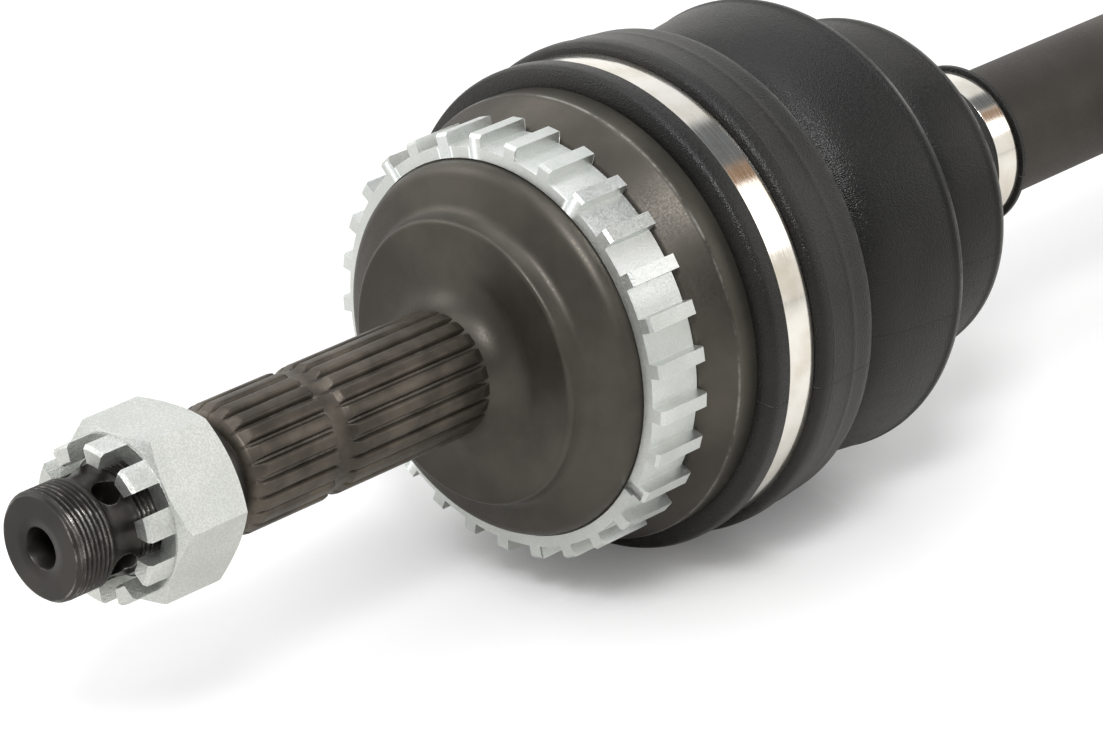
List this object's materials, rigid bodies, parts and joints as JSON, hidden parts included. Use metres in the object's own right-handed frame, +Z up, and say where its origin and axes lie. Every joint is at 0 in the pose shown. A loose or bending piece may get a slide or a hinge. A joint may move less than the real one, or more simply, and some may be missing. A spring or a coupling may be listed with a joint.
{
  "type": "drive shaft",
  "caption": "Front-wheel drive shaft with a ball joint and toothed ring at the wheel end, a sliding tripod joint at the gearbox end, rubber boots, band clamps and a castle nut.",
  "frame": {"origin": "centre of the wheel-end face of the stub, at the mouth of its centre hole", "axes": "+X along the shaft towards the gearbox end, +Z up, both joints straight"},
  "size_m": [0.66, 0.0964, 0.0964],
  "materials": {
    "phosphated_steel": "forged and turned, dark brown phosphate coat under oil, bright where worn",
    "bar_steel": "rolled bar, satin brown-grey coat",
    "zinc_ring": "sintered, silvery zinc plate",
    "zinc_nut": "bright zinc plate with a frosted grain",
    "hardened_steel": "ground and hardened, greased",
    "bearing_steel": "polished bearing steel",
    "spring_steel": "dark oiled spring steel",
    "stainless_band": "mirror-bright stainless band",
    "boot_rubber": "black moulded rubber with a fine leathery grain",
    "bush_plastic": "black moulded plastic"
  },
  "bodies": {
    "bar": {"shaft_bar": "bar_steel", "outer_inner_race": "hardened_steel", "race_circlip": "spring_steel", "outer_small_clamp": "stainless_band", "tripod_spider": "hardened_steel", "spider_circlip": "spring_steel", "roller_retainers": "spring_steel", "inner_small_clamp": "stainless_band"},
    "upper_ball_body": {"upper_ball": "bearing_steel"},
    "cage": {"outer_cage": "hardened_steel", "side_balls": "bearing_steel"},
    "lower_ball_body": {"lower_ball": "bearing_steel"},
    "bell": {"outer_bell": "phosphated_steel", "tone_ring": "zinc_ring", "castle_nut": "zinc_nut", "outer_boot": "boot_rubber", "outer_large_clamp": "stainless_band"},
    "upper_roller_body": {"upper_roller": "bearing_steel"},
    "upper_needle_body": {"upper_needles": "bearing_steel"},
    "front_roller_body": {"front_roller": "bearing_steel"},
    "front_needle_body": {"front_needles": "bearing_steel"},
    "rear_roller_body": {"rear_roller": "bearing_steel"},
    "rear_needle_body": {"rear_needles": "bearing_steel"},
    "inner_boot_body": {"inner_boot": "boot_rubber"},
    "housing": {"inner_housing": "phosphated_steel", "boot_bush": "bush_plastic", "inner_large_clamp": "stainless_band", "gearbox_circlip": "spring_steel"}
  },
  "joints": [
    {"name": "outer_travel", "type": "hinge", "parent": "bar", "child": "upper_ball_body", "pos_m": [0.141, 0, 0], "axis": [0, 1, 0], "range_deg": [-8, 8], "deforming": ["outer_boot"]},
    {"name": "outer_steer", "type": "hinge", "parent": "upper_ball_body", "child": "cage", "pos_m": [0.141, 0, 0], "axis": [0, 0, 1], "range_deg": [-19, 19], "deforming": ["outer_boot"]},
    {"name": "outer_steer_second_half", "type": "hinge", "parent": "cage", "child": "lower_ball_body", "pos_m": [0.141, 0, 0], "axis": [0, 0, 1], "range_deg": [-19, 19], "deforming": ["outer_boot"]},
    {"name": "outer_travel_second_half", "type": "hinge", "parent": "lower_ball_body", "child": "bell", "pos_m": [0.141, 0, 0], "axis": [0, 1, 0], "range_deg": [-8, 8], "deforming": ["outer_boot"]},
    {"name": "inner_swing", "type": "hinge", "parent": "bar", "child": "upper_roller_body", "pos_m": [0.551, 0, 0], "axis": [0, 0, 1], "range_deg": [-12, 12], "deforming": ["inner_boot"]},
    {"name": "inner_travel", "type": "hinge", "parent": "upper_roller_body", "child": "inner_boot_body", "pos_m": [0.551, 0, 0], "axis": [0, 1, 0], "range_deg": [-12, 12], "deforming": ["inner_boot"]},
    {"name": "plunge", "type": "slide", "parent": "inner_boot_body", "child": "housing", "axis": [1, 0, 0], "range_m": [-0.016, 0.016], "deforming": ["inner_boot"]},
    {"name": "upper_needle_roll", "type": "hinge", "parent": "bar", "child": "upper_needle_body", "pos_m": [0.551, 0, 0.0205], "axis": [0, 0, 1], "range_deg": [-6.75, 6.75]},
    {"name": "front_roller_spin", "type": "hinge", "parent": "bar", "child": "front_roller_body", "pos_m": [0.551, -0.01775, -0.01025], "axis": [0, -0.866, -0.5], "continuous": true},
    {"name": "front_needle_roll", "type": "hinge", "parent": "bar", "child": "front_needle_body", "pos_m": [0.551, -0.01775, -0.01025], "axis": [0, -0.866, -0.5], "continuous": true},
    {"name": "rear_roller_spin", "type": "hinge", "parent": "bar", "child": "rear_roller_body", "pos_m": [0.551, 0.01775, -0.01025], "axis": [0, 0.866, -0.5], "continuous": true},
    {"name": "rear_needle_roll", "type": "hinge", "parent": "bar", "child": "rear_needle_body", "pos_m": [0.551, 0.01775, -0.01025], "axis": [0, 0.866, -0.5], "continuous": true}
  ],
  "couplings": [
    {"joint": "outer_steer_second_half", "follows": "outer_steer", "ratio": 1},
    {"joint": "outer_travel_second_half", "follows": "outer_travel", "ratio": 1},
    {"joint": "upper_needle_roll", "follows": "inner_swing", "ratio": 0.5616},
    {"joint": "front_needle_roll", "follows": "front_roller_spin", "ratio": 0.5616},
    {"joint": "rear_needle_roll", "follows": "rear_roller_spin", "ratio": 0.5616}
  ]
}
